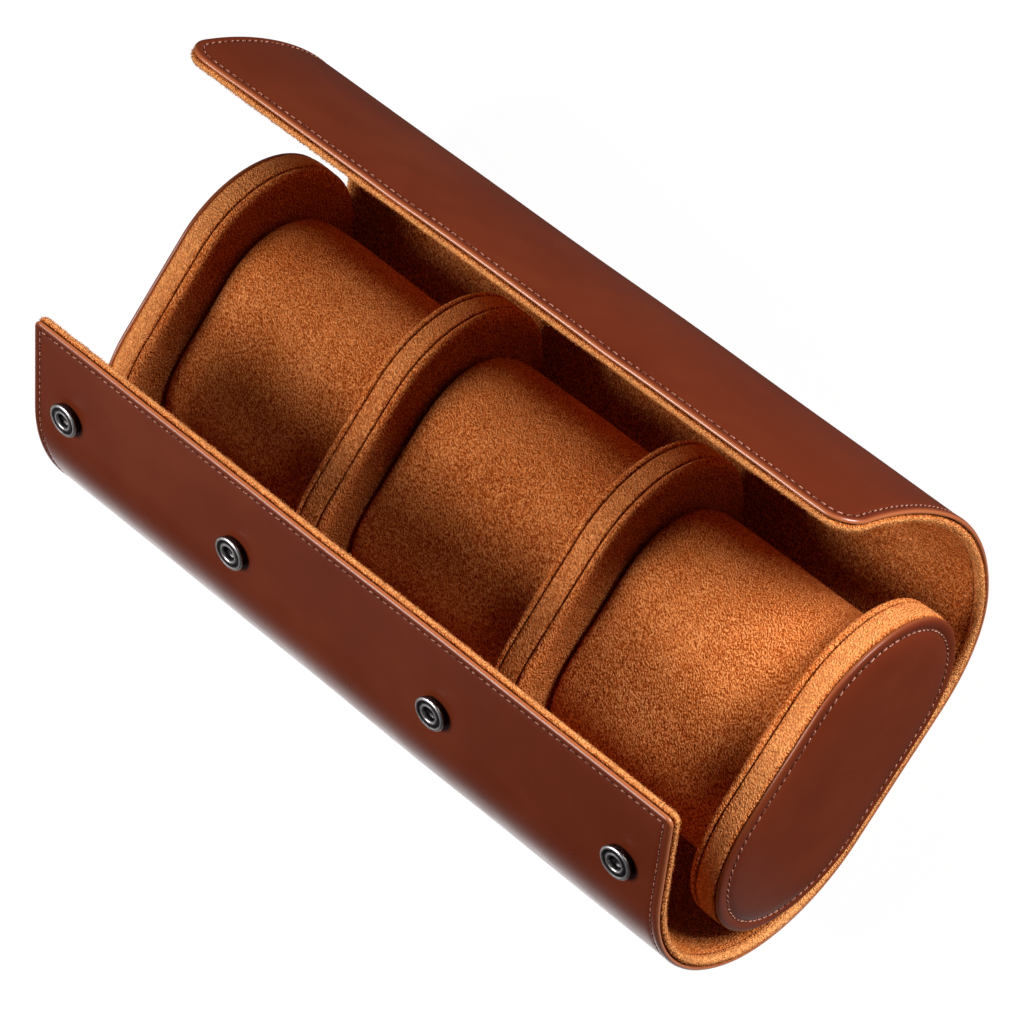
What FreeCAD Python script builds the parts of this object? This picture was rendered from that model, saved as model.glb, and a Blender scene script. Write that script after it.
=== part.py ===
import FreeCAD, Part
import Sketcher
import math
import os

# Three-place watch roll of leather lined with suede, lying open on its flat bottom.
# X runs along the roll, +Y to the back, +Z up; the origin is on the floor under the oval panels' middle.
doc = FreeCAD.newDocument("watch_roll")
Vector = FreeCAD.Vector
Rotation = FreeCAD.Rotation
Placement = FreeCAD.Placement

sizes = {
    # the wrap: one sheet of leather with a lining, drawn as its outer face from the flat bottom outwards
    "wrapLength": 200.0,
    "leatherThickness": 1.2,
    "liningThickness": 2.0,
    "frontFlatSpare": 2.4,
    "frontLowRadius": 36.0,
    "frontLowSweep": 73.0,
    "frontUpRadius": 49.0,
    "frontUpSweep": 66.3,
    "flapStraight": 26.5,
    "flapCornerRadius": 2.0,
    "rearFlatSpare": 5.9,
    "rearLowRadius": 39.0,
    "rearLowSweep": 50.4,
    "rearMidRadius": 70.0,
    "rearMidSweep": 39.0,
    "lidRadius": 100.0,
    "lidSweep": 24.2,
    "lidCornerRadius": 9.0,
    # the soft bends of the wrap, measured along its outer face from the flat bottom
    "bendWidth": 6.0,
    "frontBendOne": 28.0,
    "frontBendTwo": 58.0,
    "frontBendThree": 90.0,
    "lidBendOne": 3.0,
    "lidBendTwo": 30.0,
    "lidBendThree": 58.0,
    "lidBendFour": 86.0,
    # oval end panels and dividers, over their suede bands
    "ovalHalfLength": 41.7,
    "ovalHalfHeight": 28.2,
    "bandThickness": 0.6,
    "suedeFace": 1.0,
    "panelCore": 7.1,
    "panelLeather": 1.4,
    "panelLeatherRound": 0.9,
    "panelProud": 0.5,
    "dividerPlace": 32.0,
    "dividerCore": 8.0,
    # cushions
    "cushionEndGap": 1.5,
    "cushionSideGap": 11.7,
    "cushionTopGap": 11.5,
    "cushionFloorGap": 0.3,
    "cushionCrown": 0.8,
    "cushionEdge": 4.0,
    # press snaps
    "snapPlace": 32.0,
    "snapEndInset": 12.0,
    "socketInset": 22.4,
    "socketRadius": 4.33,
    "socketHeight": 1.8,
    "socketHole": 1.85,
    "socketRound": 0.6,
    "rivetRadius": 1.5,
    "rivetHeadRadius": 4.0,
    "rivetHeadHeight": 0.6,
    "rivetClearance": 0.1,
    "rivetEnd": 0.4,
    "studInset": 5.5,
    "studBaseRadius": 3.6,
    "studBaseHeight": 0.4,
    "studKnobRadius": 1.5,
    "studKnobHeight": 1.4,
    "studPinRadius": 1.0,
    "studPlateRadius": 3.4,
    "studPlateHeight": 0.5,
}
sheet = doc.addObject("Spreadsheet::Sheet", "Sizes")
for row, (name, value) in enumerate(sizes.items(), start=1):
    sheet.set(f"A{row}", name)
    sheet.set(f"B{row}", str(value))
    sheet.setAlias(f"B{row}", name)
doc.recompute()


def size(name):
    return float(sheet.get(name))


wrap_length = size("wrapLength")
leather = size("leatherThickness")
wrap_thickness = leather + size("liningThickness")
oval_run = size("ovalHalfLength") - size("ovalHalfHeight")
bend_half = size("bendWidth") / 2
nodes = []


def arc_course(radius, sweep):
    return size(radius), size(radius) * math.radians(size(sweep))


# Each course is a radius and a length; the wrap turns inwards along it. A straight course has no radius.
flat_end = {"front": oval_run + size("frontFlatSpare"), "lid": oval_run + size("rearFlatSpare")}
courses = {
    "front": [
        arc_course("frontLowRadius", "frontLowSweep"),
        arc_course("frontUpRadius", "frontUpSweep"),
        (None, size("flapStraight")),
    ],
    "lid": [
        arc_course("rearLowRadius", "rearLowSweep"),
        arc_course("rearMidRadius", "rearMidSweep"),
        arc_course("lidRadius", "lidSweep"),
    ],
}
toward = {"front": -1, "lid": 1}


def run_length(side):
    return sum(length for radius, length in courses[side])


def station(side, run):
    # outer face at a length along the wrap: distance out from the middle, height and heading
    out = flat_end[side] + min(run, 0)
    height = 0.0
    heading = 0.0
    for radius, length in courses[side]:
        step = min(max(run, 0), length)
        if radius is None:
            out += step * math.cos(heading)
            height += step * math.sin(heading)
        else:
            turned = heading + step / radius
            out += radius * (math.sin(turned) - math.sin(heading))
            height += radius * (math.cos(heading) - math.cos(turned))
            heading = turned
        run -= step
    return out, height, heading


def wrap_point(side, run, depth):
    # the same place, a depth below the outer face
    out, height, heading = station(side, run)
    out -= depth * math.sin(heading)
    height += depth * math.cos(heading)
    return Vector(-wrap_length / 2, toward[side] * out, height)


def wrap_edges(side, start, end, depth):
    breaks = [0.0]
    for radius, length in courses[side]:
        breaks.append(breaks[-1] + length)
    stops = [start] + [stop for stop in breaks[:-1] if start < stop < end] + [end]
    edges = []
    for low, high in zip(stops, stops[1:]):
        first = wrap_point(side, low, depth)
        last = wrap_point(side, high, depth)
        if station(side, low)[2] == station(side, high)[2]:
            curve = Part.LineSegment(first, last)
        else:
            curve = Part.Arc(first, wrap_point(side, (low + high) / 2, depth), last)
        edges.append(curve.toShape())
    return edges


def wrap_layer(side, start, end, outer, inner):
    # one layer of the wrap between two lengths and two depths, as long as the roll
    edges = wrap_edges(side, start, end, outer) + wrap_edges(side, start, end, inner)
    for run in (start, end):
        corners = wrap_point(side, run, outer), wrap_point(side, run, inner)
        edges.append(Part.LineSegment(*corners).toShape())
    outline = Part.Wire(Part.__sortEdges__(edges))
    return Part.Face(outline).extrude(Vector(wrap_length, 0, 0))


def round_corners(shape, side, outer, inner, radius):
    # the two corners of a free edge, rounded across the sheet
    middle = wrap_point(side, run_length(side), (outer + inner) / 2)
    across = [
        edge for edge in shape.Edges
        if abs(edge.Length - (inner - outer)) < 1e-4
        and abs(edge.CenterOfMass.y - middle.y) < 1e-4
        and abs(edge.CenterOfMass.z - middle.z) < 1e-4
    ]
    return shape.makeFillet(radius, across)


def add_shape(label, shape):
    piece = doc.addObject("Part::Feature", label)
    piece.Label = label
    piece.Shape = shape
    piece.Placement = Placement()
    nodes.append(piece)
    return piece


# Places of the snaps along X, and the frame on the sheet where each kind sits: Z points out of its face
snap_outer = wrap_length / 2 - size("snapEndInset")
snap_places = [-snap_outer, -size("snapPlace"), size("snapPlace"), snap_outer]
socket_run = run_length("front") - size("socketInset")
stud_run = run_length("lid") - size("studInset")


def snap_frame(side, run, depth, outward):
    origin = wrap_point(side, run, depth)
    heading = station(side, run)[2]
    normal = Vector(0, toward[side] * math.sin(heading), -math.cos(heading))
    if not outward:
        normal = -normal
    return Placement(Vector(0, origin.y, origin.z), Rotation(Vector(0, 0, 1), normal))


def hollow_rise(disc_radius, sheet_depth):
    # how far a flat disc's middle stands off the hollow lid when its rim touches
    sheet_radius = size("lidRadius") - sheet_depth
    return sheet_radius - math.sqrt(sheet_radius ** 2 - disc_radius ** 2)


stud_depth = wrap_thickness + hollow_rise(size("studBaseRadius"), wrap_thickness)
anchor_depth = leather + hollow_rise(size("studPlateRadius"), leather)
socket_frame = snap_frame("front", socket_run, 0, True)
stud_frame = snap_frame("lid", stud_run, stud_depth, False)
anchor_frame = snap_frame("lid", stud_run, anchor_depth, False)


def drill(shape, frame, radius, low, high):
    # round holes at the four snaps, between two heights along the snap's own axis
    for place in snap_places:
        tool = Part.makeCylinder(radius, high - low, Vector(0, 0, low))
        tool.Placement = Placement(frame.Base + Vector(place, 0, 0), frame.Rotation)
        shape = shape.cut(tool)
    return shape


# Stretches of the wrap that keep their curve, and the soft bends between them
front_bends = [size("frontBendOne"), size("frontBendTwo"), size("frontBendThree")]
lid_bends = [size("lidBendOne"), size("lidBendTwo"), size("lidBendThree"), size("lidBendFour")]
stretches = [("base", "front", -flat_end["front"] - flat_end["lid"], front_bends[0] - bend_half)]
bends = []
for side, names, places in (
    ("front", ("front_low", "front_up", "front_flap"), front_bends),
    ("lid", ("lid_low", "lid_back", "lid_top", "lid_end"), lid_bends),
):
    ends = [place - bend_half for place in places[1:]] + [run_length(side)]
    for number, (name, place, end) in enumerate(zip(names, places, ends), start=1):
        stretches.append((name, side, place + bend_half, end))
        bends.append((f"{side}_bend_{number}", side, place - bend_half, place + bend_half))

layers = {"leather": (0.0, leather), "lining": (leather, wrap_thickness)}
corner_radius = {"front_flap": size("flapCornerRadius"), "lid_end": size("lidCornerRadius")}
rivet_hole = size("rivetRadius") + size("rivetClearance")
pin_hole = size("studPinRadius") + size("rivetClearance")
for name, side, start, end in stretches + bends:
    for layer, (outer, inner) in layers.items():
        shape = wrap_layer(side, start, end, outer, inner)
        if name in corner_radius:
            shape = round_corners(shape, side, outer, inner, corner_radius[name])
        if name == "front_flap":
            shape = drill(shape, socket_frame, rivet_hole, -inner, -outer)
        if name == "lid_end" and layer == "lining":
            through = inner - outer
            plate_hole = size("studPlateRadius") + size("rivetClearance")
            shape = drill(shape, anchor_frame, pin_hole, 0, 2 * through)
            shape = drill(shape, anchor_frame, plate_hole, -through, size("studPlateHeight"))
        add_shape(f"{name}_{layer}", shape)


# Oval panels: a sketch of two straight sides and two round ends, padded along X
def add_oval(sketch, name, run, radius):
    first = sketch.GeometryCount
    half = 10.0
    end = 20.0
    right = Part.Circle(Vector(half, 0), Vector(0, 0, 1), end)
    left = Part.Circle(Vector(-half, 0), Vector(0, 0, 1), end)
    sketch.addGeometry([
        Part.LineSegment(Vector(-half, end), Vector(half, end)),
        Part.ArcOfCircle(right, -math.pi / 2, math.pi / 2),
        Part.LineSegment(Vector(half, -end), Vector(-half, -end)),
        Part.ArcOfCircle(left, math.pi / 2, 3 * math.pi / 2),
    ])
    top, right_end, bottom, left_end = range(first, first + 4)
    sketch.addConstraint([
        Sketcher.Constraint("Tangent", top, 2, right_end, 2),
        Sketcher.Constraint("Tangent", bottom, 1, right_end, 1),
        Sketcher.Constraint("Tangent", bottom, 2, left_end, 2),
        Sketcher.Constraint("Tangent", top, 1, left_end, 1),
        Sketcher.Constraint("Horizontal", top),
        Sketcher.Constraint("Equal", right_end, left_end),
        Sketcher.Constraint("Symmetric", right_end, 3, left_end, 3, -1, 1),
    ])
    radius_row = sketch.addConstraint(Sketcher.Constraint("Radius", right_end, end))
    run_row = sketch.addConstraint(Sketcher.Constraint("DistanceX", left_end, 3, right_end, 3, 2 * half))
    sketch.renameConstraint(radius_row, name + "Radius")
    sketch.renameConstraint(run_row, name + "Run")
    sketch.setExpression("Constraints." + name + "Radius", radius)
    sketch.setExpression("Constraints." + name + "Run", run)


oval_run_text = "2 * (Sizes.ovalHalfLength - Sizes.ovalHalfHeight)"
band_radius_text = "Sizes.ovalHalfHeight"
core_radius_text = "Sizes.ovalHalfHeight - Sizes.bandThickness"


def oval_piece(label, start, thickness, radius, hole=None):
    body = doc.addObject("PartDesign::Body", label)
    body.Label = label
    sketch = body.newObject("Sketcher::SketchObject", label + "_outline")
    plane = [origin for origin in body.Origin.OriginFeatures if origin.Role == "YZ_Plane"]
    sketch.AttachmentSupport = [(plane[0], "")]
    sketch.MapMode = "FlatFace"
    add_oval(sketch, "outer", oval_run_text, radius)
    if hole:
        add_oval(sketch, "inner", oval_run_text, hole)
    pad = body.newObject("PartDesign::Pad", label + "_pad")
    pad.Profile = sketch
    pad.setExpression("Length", thickness)
    body.setExpression("Placement.Base.x", start)
    body.setExpression("Placement.Base.z",
                       "Sizes.leatherThickness + Sizes.liningThickness + Sizes.ovalHalfHeight")
    return body


def round_outer_edge(body, low_side):
    # rolled-over rim of a leather face, on the side that shows
    doc.recompute()
    pad = body.Tip
    side_x = 0.0 if low_side else pad.Length.Value
    rims = [
        f"Edge{number}" for number, edge in enumerate(pad.Shape.Edges, start=1)
        if all(abs(vertex.X - side_x) < 1e-4 for vertex in edge.Vertexes)
    ]
    rim = body.newObject("PartDesign::Fillet", body.Label + "_rim")
    rim.Base = (pad, rims)
    rim.setExpression("Radius", "Sizes.panelLeatherRound")


core_length = "Sizes.panelCore"
face_length = "Sizes.suedeFace"
leather_length = "Sizes.panelLeather"
panel_out = "(Sizes.wrapLength / 2 + Sizes.panelProud)"
band_length = "Sizes.suedeFace + Sizes.panelCore"
left_leather = oval_piece("left_end_leather", "-" + panel_out, leather_length, core_radius_text)
round_outer_edge(left_leather, True)
left_start = f"-{panel_out} + {leather_length}"
nodes.append(left_leather)
nodes.append(oval_piece("left_end_core", left_start, core_length, core_radius_text))
nodes.append(oval_piece("left_end_lining", f"{left_start} + {core_length}", face_length, core_radius_text))
nodes.append(oval_piece("left_end_band", left_start, band_length, band_radius_text, core_radius_text))
right_start = f"{panel_out} - {leather_length}"
right_leather = oval_piece("right_end_leather", right_start, leather_length, core_radius_text)
round_outer_edge(right_leather, False)
nodes.append(right_leather)
right_inside = f"{right_start} - {core_length} - {face_length}"
nodes.append(oval_piece("right_end_core", f"{right_start} - {core_length}", core_length, core_radius_text))
nodes.append(oval_piece("right_end_lining", right_inside, face_length, core_radius_text))
nodes.append(oval_piece("right_end_band", right_inside, band_length, band_radius_text, core_radius_text))

for side, sign in (("left", "-"), ("right", "")):
    middle = f"{sign}Sizes.dividerPlace"
    core_start = f"{middle} - Sizes.dividerCore / 2"
    core_end = f"{middle} + Sizes.dividerCore / 2"
    outside = f"{core_start} - Sizes.suedeFace"
    name = f"{side}_divider"
    nodes.append(oval_piece(name + "_core", core_start, "Sizes.dividerCore", core_radius_text))
    nodes.append(oval_piece(name + "_left_face", outside, face_length, core_radius_text))
    nodes.append(oval_piece(name + "_right_face", core_end, face_length, core_radius_text))
    full = "Sizes.dividerCore + 2 * Sizes.suedeFace"
    nodes.append(oval_piece(name + "_band", outside, full, band_radius_text, core_radius_text))


# Cushions: soft ovals that swell in the middle and draw in to a rounded rim at each end
cushion_half_height = size("ovalHalfHeight") - (size("cushionTopGap") + size("cushionFloorGap")) / 2
cushion_half_length = size("ovalHalfLength") - size("cushionSideGap")
cushion_height = wrap_thickness + size("cushionFloorGap") + cushion_half_height
divider_half = size("dividerCore") / 2 + size("suedeFace")
panel_inside = (wrap_length / 2 + size("panelProud") - size("panelLeather")
                - size("panelCore") - size("suedeFace"))


def cushion_outline(x, half_length, half_height):
    # two straight sides and four quarter rounds
    run = half_length - half_height
    corners = [(1, 0, 90), (-1, 90, 180), (-1, 180, 270), (1, 270, 360)]
    edges = []
    for side, begin, finish in corners:
        points = []
        for angle in (begin, (begin + finish) / 2, finish):
            turn = math.radians(angle)
            y = side * run + half_height * math.cos(turn)
            points.append(Vector(x, y, cushion_height + half_height * math.sin(turn)))
        edges.append(Part.Arc(*points).toShape())
    for flip in (1, -1):
        z = cushion_height + flip * half_height
        edges.append(Part.LineSegment(Vector(x, run, z), Vector(x, -run, z)).toShape())
    return Part.Wire(Part.__sortEdges__(edges))


def cushion(middle, length):
    crown = size("cushionCrown")
    outlines = [
        cushion_outline(middle + place * length / 2, cushion_half_length - drawn, cushion_half_height - drawn)
        for place, drawn in ((-1, crown), (0, 0.0), (1, crown))
    ]
    swelled = Part.makeLoft(outlines, True, False)
    rims = [
        edge for edge in swelled.Edges
        if all(abs(abs(vertex.X - middle) - length / 2) < 1e-4 for vertex in edge.Vertexes)
        and abs(edge.Vertexes[0].X - edge.Vertexes[-1].X) < 1e-4
    ]
    return swelled.makeFillet(size("cushionEdge"), rims)


end_gap = size("cushionEndGap")
outer_low = size("dividerPlace") + divider_half + end_gap
outer_high = panel_inside - end_gap
inner_high = size("dividerPlace") - divider_half - end_gap
add_shape("left_cushion", cushion(-(outer_low + outer_high) / 2, outer_high - outer_low))
add_shape("middle_cushion", cushion(0.0, 2 * inner_high))
add_shape("right_cushion", cushion((outer_low + outer_high) / 2, outer_high - outer_low))


# Press snaps: each kind is a group of four, built on its own axis and set on the sheet
def cylinder(name, place, low, radius, height):
    piece = doc.addObject("Part::Cylinder", name)
    piece.setExpression("Radius", radius)
    piece.setExpression("Height", height)
    piece.setExpression("Placement.Base.x", place)
    piece.setExpression("Placement.Base.z", low)
    return piece


def boolean(kind, name, base, tool):
    piece = doc.addObject(kind, name)
    piece.Base = base
    piece.Tool = tool
    return piece


snap_texts = ["-(Sizes.wrapLength / 2 - Sizes.snapEndInset)", "-Sizes.snapPlace",
              "Sizes.snapPlace", "Sizes.wrapLength / 2 - Sizes.snapEndInset"]
wrap_text = "(Sizes.leatherThickness + Sizes.liningThickness)"


def socket(number, place):
    # a raised ring with a rounded rim
    name = f"socket_{number}"
    ring = cylinder(name + "_ring", place, "0", "Sizes.socketRadius", "Sizes.socketHeight")
    hole = cylinder(name + "_hole", place, "0", "Sizes.socketHole", "Sizes.socketHeight")
    cut = boolean("Part::Cut", name + "_cut", ring, hole)
    doc.recompute()
    rims = [
        rim for rim, edge in enumerate(cut.Shape.Edges, start=1)
        if abs(edge.CenterOfMass.z - size("socketHeight")) < 1e-4 and len(edge.Vertexes) == 1
    ]
    rounded = doc.addObject("Part::Fillet", name)
    rounded.Base = cut
    rounded.Edges = [(rim, size("socketRound"), size("socketRound")) for rim in rims]
    return rounded


def socket_rivet(number, place):
    # shank through both layers with a flat head on the lining
    name = f"socket_rivet_{number}"
    shank = cylinder(name + "_shank", place, "-" + wrap_text, "Sizes.rivetRadius",
                     wrap_text + " + Sizes.rivetEnd")
    head = cylinder(name + "_head", place, f"-{wrap_text} - Sizes.rivetHeadHeight",
                    "Sizes.rivetHeadRadius", "Sizes.rivetHeadHeight")
    return boolean("Part::Fuse", name, shank, head)


def stud(number, place):
    # a flat foot with a knob that enters the socket
    name = f"stud_{number}"
    foot = cylinder(name + "_foot", place, "0", "Sizes.studBaseRadius", "Sizes.studBaseHeight")
    knob = cylinder(name + "_knob", place, "Sizes.studBaseHeight", "Sizes.studKnobRadius",
                    "Sizes.studKnobHeight")
    return boolean("Part::Fuse", name, foot, knob)


def stud_anchor(number, place):
    # a plate between leather and lining with a pin up to the stud's foot
    name = f"stud_anchor_{number}"
    plate = cylinder(name + "_plate", place, "0", "Sizes.studPlateRadius", "Sizes.studPlateHeight")
    pin = cylinder(name + "_pin", place, "0", "Sizes.studPinRadius", "Sizes.liningThickness")
    return boolean("Part::Fuse", name, plate, pin)


for label, make, frame in (
    ("snap_sockets", socket, socket_frame),
    ("snap_socket_rivets", socket_rivet, socket_frame),
    ("snap_studs", stud, stud_frame),
    ("snap_stud_anchors", stud_anchor, anchor_frame),
):
    group = doc.addObject("Part::Compound", label)
    group.Label = label
    group.Links = [make(number, place) for number, place in enumerate(snap_texts, start=1)]
    group.Placement = frame
    nodes.append(group)

doc.recompute()
for item in doc.Objects:
    if "Invalid" in item.State or "Error" in item.State:
        raise RuntimeError(f"{item.Label} failed: {item.State}")
for node in nodes:
    if node.Shape.isNull() or not node.Shape.isValid():
        raise RuntimeError(f"{node.Label} has no valid shape")

os.makedirs("parts", exist_ok=True)
for node in nodes:
    node.Shape.exportStep(f"parts/{node.Label}.step")
print(len(nodes), "sub-parts written")
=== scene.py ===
import bmesh
import bpy
import numpy as np
from mathutils import Matrix


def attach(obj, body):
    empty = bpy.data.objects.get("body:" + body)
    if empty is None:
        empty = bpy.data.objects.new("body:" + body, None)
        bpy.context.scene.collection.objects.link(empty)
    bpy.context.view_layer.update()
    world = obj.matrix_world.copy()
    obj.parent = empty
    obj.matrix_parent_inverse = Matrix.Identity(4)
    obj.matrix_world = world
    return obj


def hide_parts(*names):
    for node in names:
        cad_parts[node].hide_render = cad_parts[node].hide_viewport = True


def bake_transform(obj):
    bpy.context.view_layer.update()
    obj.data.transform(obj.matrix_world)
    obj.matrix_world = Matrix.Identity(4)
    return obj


# Watch roll for three watches, open on a white table. Shapes are worked out in mm, meshes are in metres.
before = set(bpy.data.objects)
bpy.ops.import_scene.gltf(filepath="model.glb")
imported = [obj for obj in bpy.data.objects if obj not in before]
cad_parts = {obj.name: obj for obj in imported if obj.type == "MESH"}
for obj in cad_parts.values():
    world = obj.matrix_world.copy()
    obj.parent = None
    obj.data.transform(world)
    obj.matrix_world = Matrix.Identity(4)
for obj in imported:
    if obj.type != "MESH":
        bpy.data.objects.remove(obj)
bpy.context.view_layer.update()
mm = 0.001
print("frame loaded:", len(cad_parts), "nodes")


def linear(hexCode):
    # sRGB hex to linear colour with full alpha
    shade = np.array([int(hexCode[k:k + 2], 16) for k in (1, 3, 5)]) / 255
    flat = np.where(shade <= 0.04045, shade / 12.92, ((shade + 0.055) / 1.055) ** 2.4)
    return (*flat.tolist(), 1.0)


def addNode(tree, kind, settings=None, **inputs):
    # one node: settings are its own properties, inputs are values or sockets to link; in an input's name
    # _ stands for a space, and i2 means input number 2
    node = tree.nodes.new(kind)
    for name, value in (settings or {}).items():
        setattr(node, name, value)
    for name, value in inputs.items():
        key = int(name[1:]) if name[0] == "i" and name[1:].isdigit() else name.replace("_", " ")
        if isinstance(value, bpy.types.NodeSocket):
            tree.links.new(value, node.inputs[key])
        else:
            node.inputs[key].default_value = value
    return node


def addNoise(tree, place, size, detail):
    # noise whose largest lumps are about size mm across
    return addNode(tree, "ShaderNodeTexNoise", Vector=place, Scale=1000 / size, Detail=detail).outputs["Fac"]


def addMath(tree, operation, *values, clamp=False):
    inputs = {f"i{number}": value for number, value in enumerate(values)}
    return addNode(tree, "ShaderNodeMath", {"operation": operation, "use_clamp": clamp}, **inputs).outputs[0]


def addMix(tree, share, first, second):
    # one number or another, by a share
    return addNode(tree, "ShaderNodeMix", i0=share, i2=first, i3=second).outputs[0]


def addBlend(tree, share, colour, hexCode):
    # a colour, or by a share a plain one
    node = addNode(tree, "ShaderNodeMix", {"data_type": "RGBA"}, i0=share, i6=colour, i7=linear(hexCode))
    return node.outputs[2]


def addRange(tree, value, start, end):
    # a value carried from one range to another and held at both ends
    return addNode(tree, "ShaderNodeMapRange", Value=value, From_Min=start[0], From_Max=start[1],
                   To_Min=end[0], To_Max=end[1]).outputs["Result"]


def addRamp(tree, value, stops):
    # colours along a value: the first and last stop take the two elements there are, the rest come between
    ramp = addNode(tree, "ShaderNodeValToRGB", Fac=value)
    for number, (place, shade) in enumerate((stops[0], stops[-1])):
        ramp.color_ramp.elements[number].position = place
        ramp.color_ramp.elements[number].color = linear(shade)
    for place, shade in stops[1:-1]:
        ramp.color_ramp.elements.new(place).color = linear(shade)
    return ramp.outputs["Color"]


def addTone(tree):
    # the tone that newPiece gives every point
    return addNode(tree, "ShaderNodeAttribute", {"attribute_name": "tone"}).outputs["Fac"]


def addBump(tree, height, strength, distance):
    node = addNode(tree, "ShaderNodeBump", Strength=strength, Distance=distance * mm, Height=height)
    return node.outputs["Normal"]


def addSurface(tree, **inputs):
    shader = addNode(tree, "ShaderNodeBsdfPrincipled", **inputs)
    addNode(tree, "ShaderNodeOutputMaterial", Surface=shader.outputs["BSDF"])


def newFinish(name):
    # an empty material, its tree and the place on the piece
    finish = bpy.data.materials.new(name)
    finish.use_nodes = True
    tree = finish.node_tree
    tree.nodes.clear()
    return finish, tree, addNode(tree, "ShaderNodeTexCoord").outputs["Object"]


def gridFaces(rows, cols, closed=False, flip=False):
    # quads between neighbouring rows and columns; a closed grid joins its last column to its first
    i = np.arange(rows - 1)[:, None]
    j = np.arange(cols if closed else cols - 1)[None, :]
    k = (j + 1) % cols
    quads = np.stack([i * cols + j, i * cols + k, (i + 1) * cols + k, (i + 1) * cols + j], -1).reshape(-1, 4)
    return quads[:, ::-1] if flip else quads


def manyFaces(rows, cols, count, flip=False):
    # quads of many closed grids, one after another
    one = gridFaces(rows, cols, closed=True, flip=flip)
    return (one[None] + (np.arange(count) * rows * cols)[:, None, None]).reshape(-1, 4)


# Points closer than weld become one and edges shorter than sliver go, in metres
joined = {"weld": 2e-6, "sliver": 1e-7}


def newPiece(name, parts, finishes):
    # parts are (points in mm, quads, finish number, tone); touching points are welded to close seams
    points = np.concatenate([part[0].reshape(-1, 3) for part in parts]) * mm
    starts = np.cumsum([0] + [part[0].reshape(-1, 3).shape[0] for part in parts])
    quads = np.concatenate([part[1] + start for part, start in zip(parts, starts)])
    index = np.concatenate([np.full(len(part[1]), part[2]) for part in parts])
    tone = np.concatenate([np.broadcast_to(part[3], part[0].shape[:-1]).ravel() for part in parts])
    mesh = bpy.data.meshes.new(name)
    mesh.vertices.add(len(points))
    mesh.vertices.foreach_set("co", points.astype(np.float32).ravel())
    mesh.loops.add(quads.size)
    mesh.loops.foreach_set("vertex_index", quads.astype(np.int32).ravel())
    mesh.polygons.add(len(quads))
    mesh.polygons.foreach_set("loop_start", np.arange(0, quads.size, 4, dtype=np.int32))
    mesh.polygons.foreach_set("material_index", index.astype(np.int32))
    mesh.update(calc_edges=True)
    mesh.attributes.new("tone", "FLOAT", "POINT").data.foreach_set("value", tone.astype(np.float32))
    work = bmesh.new()
    work.from_mesh(mesh)
    bmesh.ops.remove_doubles(work, verts=work.verts, dist=joined["weld"])
    bmesh.ops.dissolve_degenerate(work, edges=work.edges, dist=joined["sliver"])
    for face in work.faces:
        face.smooth = True
    work.to_mesh(mesh)
    work.free()
    for finish in finishes:
        mesh.materials.append(finish)
    piece = bpy.data.objects.new(name, mesh)
    bpy.context.scene.collection.objects.link(piece)
    return piece


# Polished aniline leather, plated smooth: deep red-brown, faint mottling from the dye, pores barely there, a
# thin wax coat that mirrors soft boxes, and a burnished, paler cut edge (tone 1). Here and below, noises are
# (size in mm, detail) and bumps (strength, height in mm).
leatherLook = {
    "dye": ((0.34, "#56200F"), (0.5, "#5A2311"), (0.68, "#612814")), "rim": "#9C5632",
    "mottle": (34.0, 3.0), "cloud": (9.0, 4.0), "cloudShare": 0.3,
    "pore": (0.6, 1.0), "swell": (4.0, 2.0), "swellShare": 0.6, "bump": (0.05, 0.3),
    "clouded": (0.3, 0.7), "roughness": (0.27, 0.33), "gloss": (0.12, 0.7), "refraction": 1.45,
}


def polishedLeather():
    look = leatherLook
    finish, tree, place = newFinish("polishedLeather")
    cloud = addNoise(tree, place, *look["cloud"])
    spread = addMix(tree, look["cloudShare"], addNoise(tree, place, *look["mottle"]), cloud)
    rim = addTone(tree)
    colour = addBlend(tree, rim, addRamp(tree, spread, look["dye"]), look["rim"])
    pore, swell = addNoise(tree, place, *look["pore"]), addNoise(tree, place, *look["swell"])
    relief = addMix(tree, look["swellShare"], pore, swell)
    addSurface(tree, Base_Color=colour, IOR=look["refraction"],
               Specular_IOR_Level=addRange(tree, rim, (0.0, 1.0), look["gloss"]),
               Roughness=addRange(tree, cloud, look["clouded"], look["roughness"]),
               Normal=addBump(tree, relief, *look["bump"]))
    return finish


# Brushed suede: split leather with a raised nap. Tufts lie along one brushed direction, brushing leaves
# patches, cut edges are raw and pale, and the nap has a faint sheen. Each tuft has painted light and shade:
# the tuft noise less the same noise shifted towards the light. Tone 1 is a seam's painted shadow, tone -1 a
# cut edge.
suedeLook = {
    "dye": ((0.33, "#84340D"), (0.5, "#C2642A"), (0.67, "#EC9C5C")), "seamShadow": "#220A01", "cut": "#E69F60",
    # lean shifts the tuft noise towards the light for the painted shade on each tuft
    "lie": 32.7, "tuft": (0.36, 0.6, 0.44), "lean": (0.32, 0.2, -0.25), "tuftShadeShare": 0.75,
    "tuftNoise": {"Scale": 1.0, "Detail": 1.5, "Roughness": 0.6, "Distortion": 0.35},
    "clump": (1.7, 3.0), "clumpShare": 0.13, "brush": (16.0, 2.0), "brushShare": 0.2,
    "pucker": (1.3, 2.0), "puckerFrom": (0.3, 0.6), "puckerTo": (0.25, 1.05), "bump": (1.0, 1.1),
    "roughness": 0.95, "sheen": 0.12, "sheenRoughness": 0.4, "sheenTint": "#C8743A",
}


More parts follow.
